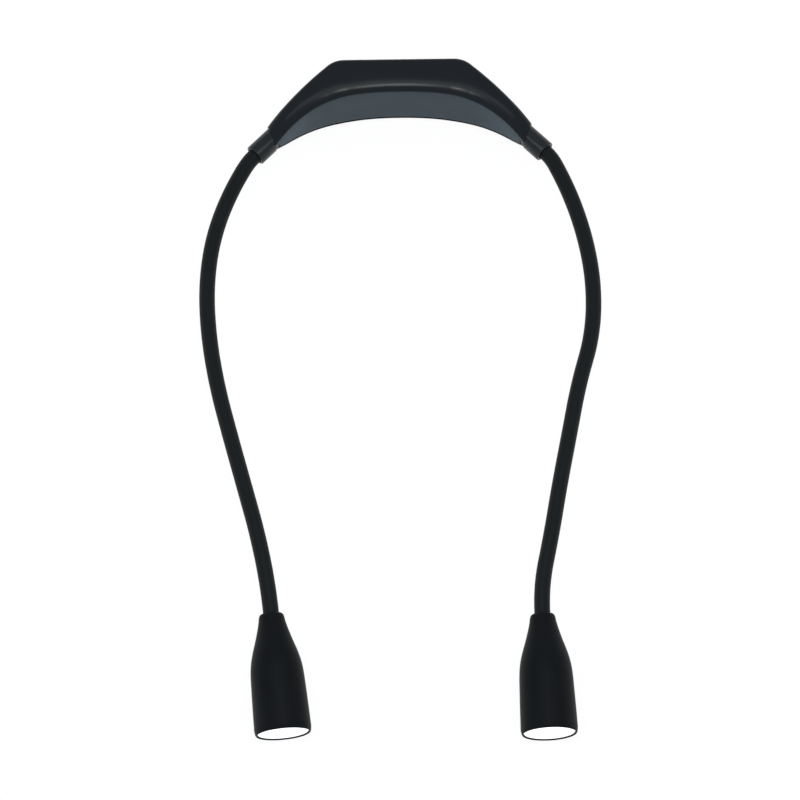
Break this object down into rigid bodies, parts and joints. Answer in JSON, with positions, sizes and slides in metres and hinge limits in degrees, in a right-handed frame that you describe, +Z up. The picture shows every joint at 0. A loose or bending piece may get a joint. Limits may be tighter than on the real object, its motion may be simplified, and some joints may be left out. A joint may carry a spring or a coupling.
{
  "type": "neck reading light",
  "caption": "Rechargeable reading light worn round the neck: a rigid padded housing with bendable gooseneck arms that end in small lamp heads.",
  "frame": {"origin": "under the middle of the outline, on the table that the light lies on", "axes": "the light lies on its side: +Y points to the flat back of the neck housing, the arms run towards -Y, +X is the picture's right, +Z is up, away from the table"},
  "size_m": [0.1906, 0.3372, 0.0372],
  "materials": {
    "housing_black": "satin",
    "pad_slate": "matte",
    "cover_black": "matte",
    "collar_black": "satin",
    "gooseneck_rubber": "matte",
    "head_black": "satin",
    "button_black": "matte",
    "lens_white": "satin",
    "reflector_silver": "gloss",
    "aluminium_raw": "satin",
    "steel_plated": "satin",
    "brass_raw": "satin",
    "board_green": "satin",
    "battery_foil": "satin",
    "clear_pipe": "gloss",
    "wire_red": "satin"
  },
  "bodies": {
    "housing": {"outer_shell": "housing_black", "inner_cover": "cover_black", "neck_pad": "pad_slate", "cover_screw_1": "steel_plated", "cover_screw_2": "steel_plated", "cover_screw_3": "steel_plated", "cover_screw_4": "steel_plated", "main_board": "board_green", "battery_cell": "battery_foil", "usb_c_socket": "steel_plated", "charge_light_pipe": "clear_pipe", "left_tact_switch": "steel_plated", "right_tact_switch": "steel_plated", "left_collar": "collar_black", "left_lead": "wire_red", "left_gooseneck_01": "gooseneck_rubber", "right_collar": "collar_black", "right_lead": "wire_red", "right_gooseneck_01": "gooseneck_rubber"},
    "left_button": {"left_button": "button_black"},
    "left_link_02": {"left_gooseneck_02": "gooseneck_rubber"},
    "left_link_03": {"left_gooseneck_03": "gooseneck_rubber"},
    "left_link_04": {"left_gooseneck_04": "gooseneck_rubber"},
    "left_link_05": {"left_gooseneck_05": "gooseneck_rubber"},
    "left_link_06": {"left_gooseneck_06": "gooseneck_rubber"},
    "left_link_07": {"left_gooseneck_07": "gooseneck_rubber"},
    "left_link_08": {"left_gooseneck_08": "gooseneck_rubber"},
    "left_link_09": {"left_gooseneck_09": "gooseneck_rubber"},
    "left_head": {"left_gooseneck_10": "gooseneck_rubber", "left_head_shell": "head_black", "left_ferrule": "brass_raw", "left_head_lead": "wire_red", "left_heat_sink": "aluminium_raw", "left_led_board": "aluminium_raw", "left_reflector": "reflector_silver", "left_retaining_ring": "head_black", "left_lens": "lens_white"},
    "right_button": {"right_button": "button_black"},
    "right_link_02": {"right_gooseneck_02": "gooseneck_rubber"},
    "right_link_03": {"right_gooseneck_03": "gooseneck_rubber"},
    "right_link_04": {"right_gooseneck_04": "gooseneck_rubber"},
    "right_link_05": {"right_gooseneck_05": "gooseneck_rubber"},
    "right_link_06": {"right_gooseneck_06": "gooseneck_rubber"},
    "right_link_07": {"right_gooseneck_07": "gooseneck_rubber"},
    "right_link_08": {"right_gooseneck_08": "gooseneck_rubber"},
    "right_link_09": {"right_gooseneck_09": "gooseneck_rubber"},
    "right_head": {"right_gooseneck_10": "gooseneck_rubber", "right_head_shell": "head_black", "right_ferrule": "brass_raw", "right_head_lead": "wire_red", "right_heat_sink": "aluminium_raw", "right_led_board": "aluminium_raw", "right_reflector": "reflector_silver", "right_retaining_ring": "head_black", "right_lens": "lens_white"}
  },
  "joints": [
    {"name": "left_button_press", "type": "slide", "parent": "housing", "child": "left_button", "axis": [0, -1, 0], "range_m": [0, 0.0004], "stiffness_N_per_m": 3000},
    {"name": "right_button_press", "type": "slide", "parent": "housing", "child": "right_button", "axis": [0, -1, 0], "range_m": [0, 0.0004], "stiffness_N_per_m": 3000},
    {"name": "left_arm_swing_1", "type": "hinge", "parent": "housing", "child": "left_link_02", "pos_m": [-0.07348, 0.11924, 0.0186], "axis": [0, 0, 1], "range_deg": [-45, 20]},
    {"name": "left_arm_lift_1", "type": "hinge", "parent": "left_link_02", "child": "left_link_03", "pos_m": [-0.08442, 0.09563, 0.01899], "axis": [-0.942, 0.3355, 0.0028], "range_deg": [-35, 35]},
    {"name": "left_arm_swing_2", "type": "hinge", "parent": "left_link_03", "child": "left_link_04", "pos_m": [-0.09044, 0.07034, 0.01976], "axis": [0.0127, 0.0274, 0.9995], "range_deg": [-45, 25]},
    {"name": "left_arm_lift_2", "type": "hinge", "parent": "left_link_04", "child": "left_link_05", "pos_m": [-0.0915, 0.04434, 0.02049], "axis": [-0.999, -0.0434, 0.0139], "range_deg": [-35, 35]},
    {"name": "left_arm_swing_3", "type": "hinge", "parent": "left_link_05", "child": "left_link_06", "pos_m": [-0.08896, 0.01843, 0.02117], "axis": [0.0127, 0.0274, 0.9995], "range_deg": [-45, 30]},
    {"name": "left_arm_lift_3", "type": "hinge", "parent": "left_link_06", "child": "left_link_07", "pos_m": [-0.08394, -0.00713, 0.02181], "axis": [-0.9722, -0.2332, 0.0187], "range_deg": [-35, 35]},
    {"name": "left_arm_swing_4", "type": "hinge", "parent": "left_link_07", "child": "left_link_08", "pos_m": [-0.07769, -0.03242, 0.02242], "axis": [0.0127, 0.0274, 0.9995], "range_deg": [-45, 35]},
    {"name": "left_arm_lift_4", "type": "hinge", "parent": "left_link_08", "child": "left_link_09", "pos_m": [-0.0713, -0.05768, 0.02303], "axis": [-0.9693, -0.2451, 0.019], "range_deg": [-35, 35]},
    {"name": "left_arm_swing_5", "type": "hinge", "parent": "left_link_09", "child": "left_head", "pos_m": [-0.06572, -0.08312, 0.02268], "axis": [0.0288, -0.0461, 0.9985], "range_deg": [-45, 40]},
    {"name": "right_arm_swing_1", "type": "hinge", "parent": "housing", "child": "right_link_02", "pos_m": [0.07479, 0.11908, 0.0186], "axis": [0, 0, 1], "range_deg": [-20, 45]},
    {"name": "right_arm_lift_1", "type": "hinge", "parent": "right_link_02", "child": "right_link_03", "pos_m": [0.08435, 0.09486, 0.01878], "axis": [-0.9553, -0.2957, -0.0011], "range_deg": [-35, 35]},
    {"name": "right_arm_swing_2", "type": "hinge", "parent": "right_link_03", "child": "right_link_04", "pos_m": [0.09014, 0.06948, 0.01914], "axis": [-0.0051, 0.013, 0.9999], "range_deg": [-25, 45]},
    {"name": "right_arm_lift_2", "type": "hinge", "parent": "right_link_04", "child": "right_link_05", "pos_m": [0.0915, 0.0435, 0.01949], "axis": [-0.999, 0.0436, -0.0057], "range_deg": [-35, 35]},
    {"name": "right_arm_swing_3", "type": "hinge", "parent": "right_link_05", "child": "right_link_06", "pos_m": [0.0873, 0.01785, 0.0198], "axis": [-0.0051, 0.013, 0.9999], "range_deg": [-30, 45]},
    {"name": "right_arm_lift_3", "type": "hinge", "parent": "right_link_06", "child": "right_link_07", "pos_m": [0.08122, -0.00748, 0.0201], "axis": [-0.9819, 0.189, -0.0075], "range_deg": [-35, 35]},
    {"name": "right_arm_swing_4", "type": "hinge", "parent": "right_link_07", "child": "right_link_08", "pos_m": [0.07622, -0.03306, 0.02041], "axis": [-0.0051, 0.013, 0.9999], "range_deg": [-35, 45]},
    {"name": "right_arm_lift_4", "type": "hinge", "parent": "right_link_08", "child": "right_link_09", "pos_m": [0.07147, -0.05868, 0.02072], "axis": [-0.9854, 0.1702, -0.0073], "range_deg": [-35, 35]},
    {"name": "right_arm_swing_5", "type": "hinge", "parent": "right_link_09", "child": "right_head", "pos_m": [0.06655, -0.08426, 0.02033], "axis": [-0.0152, -0.0393, 0.9991], "range_deg": [-40, 45]}
  ]
}
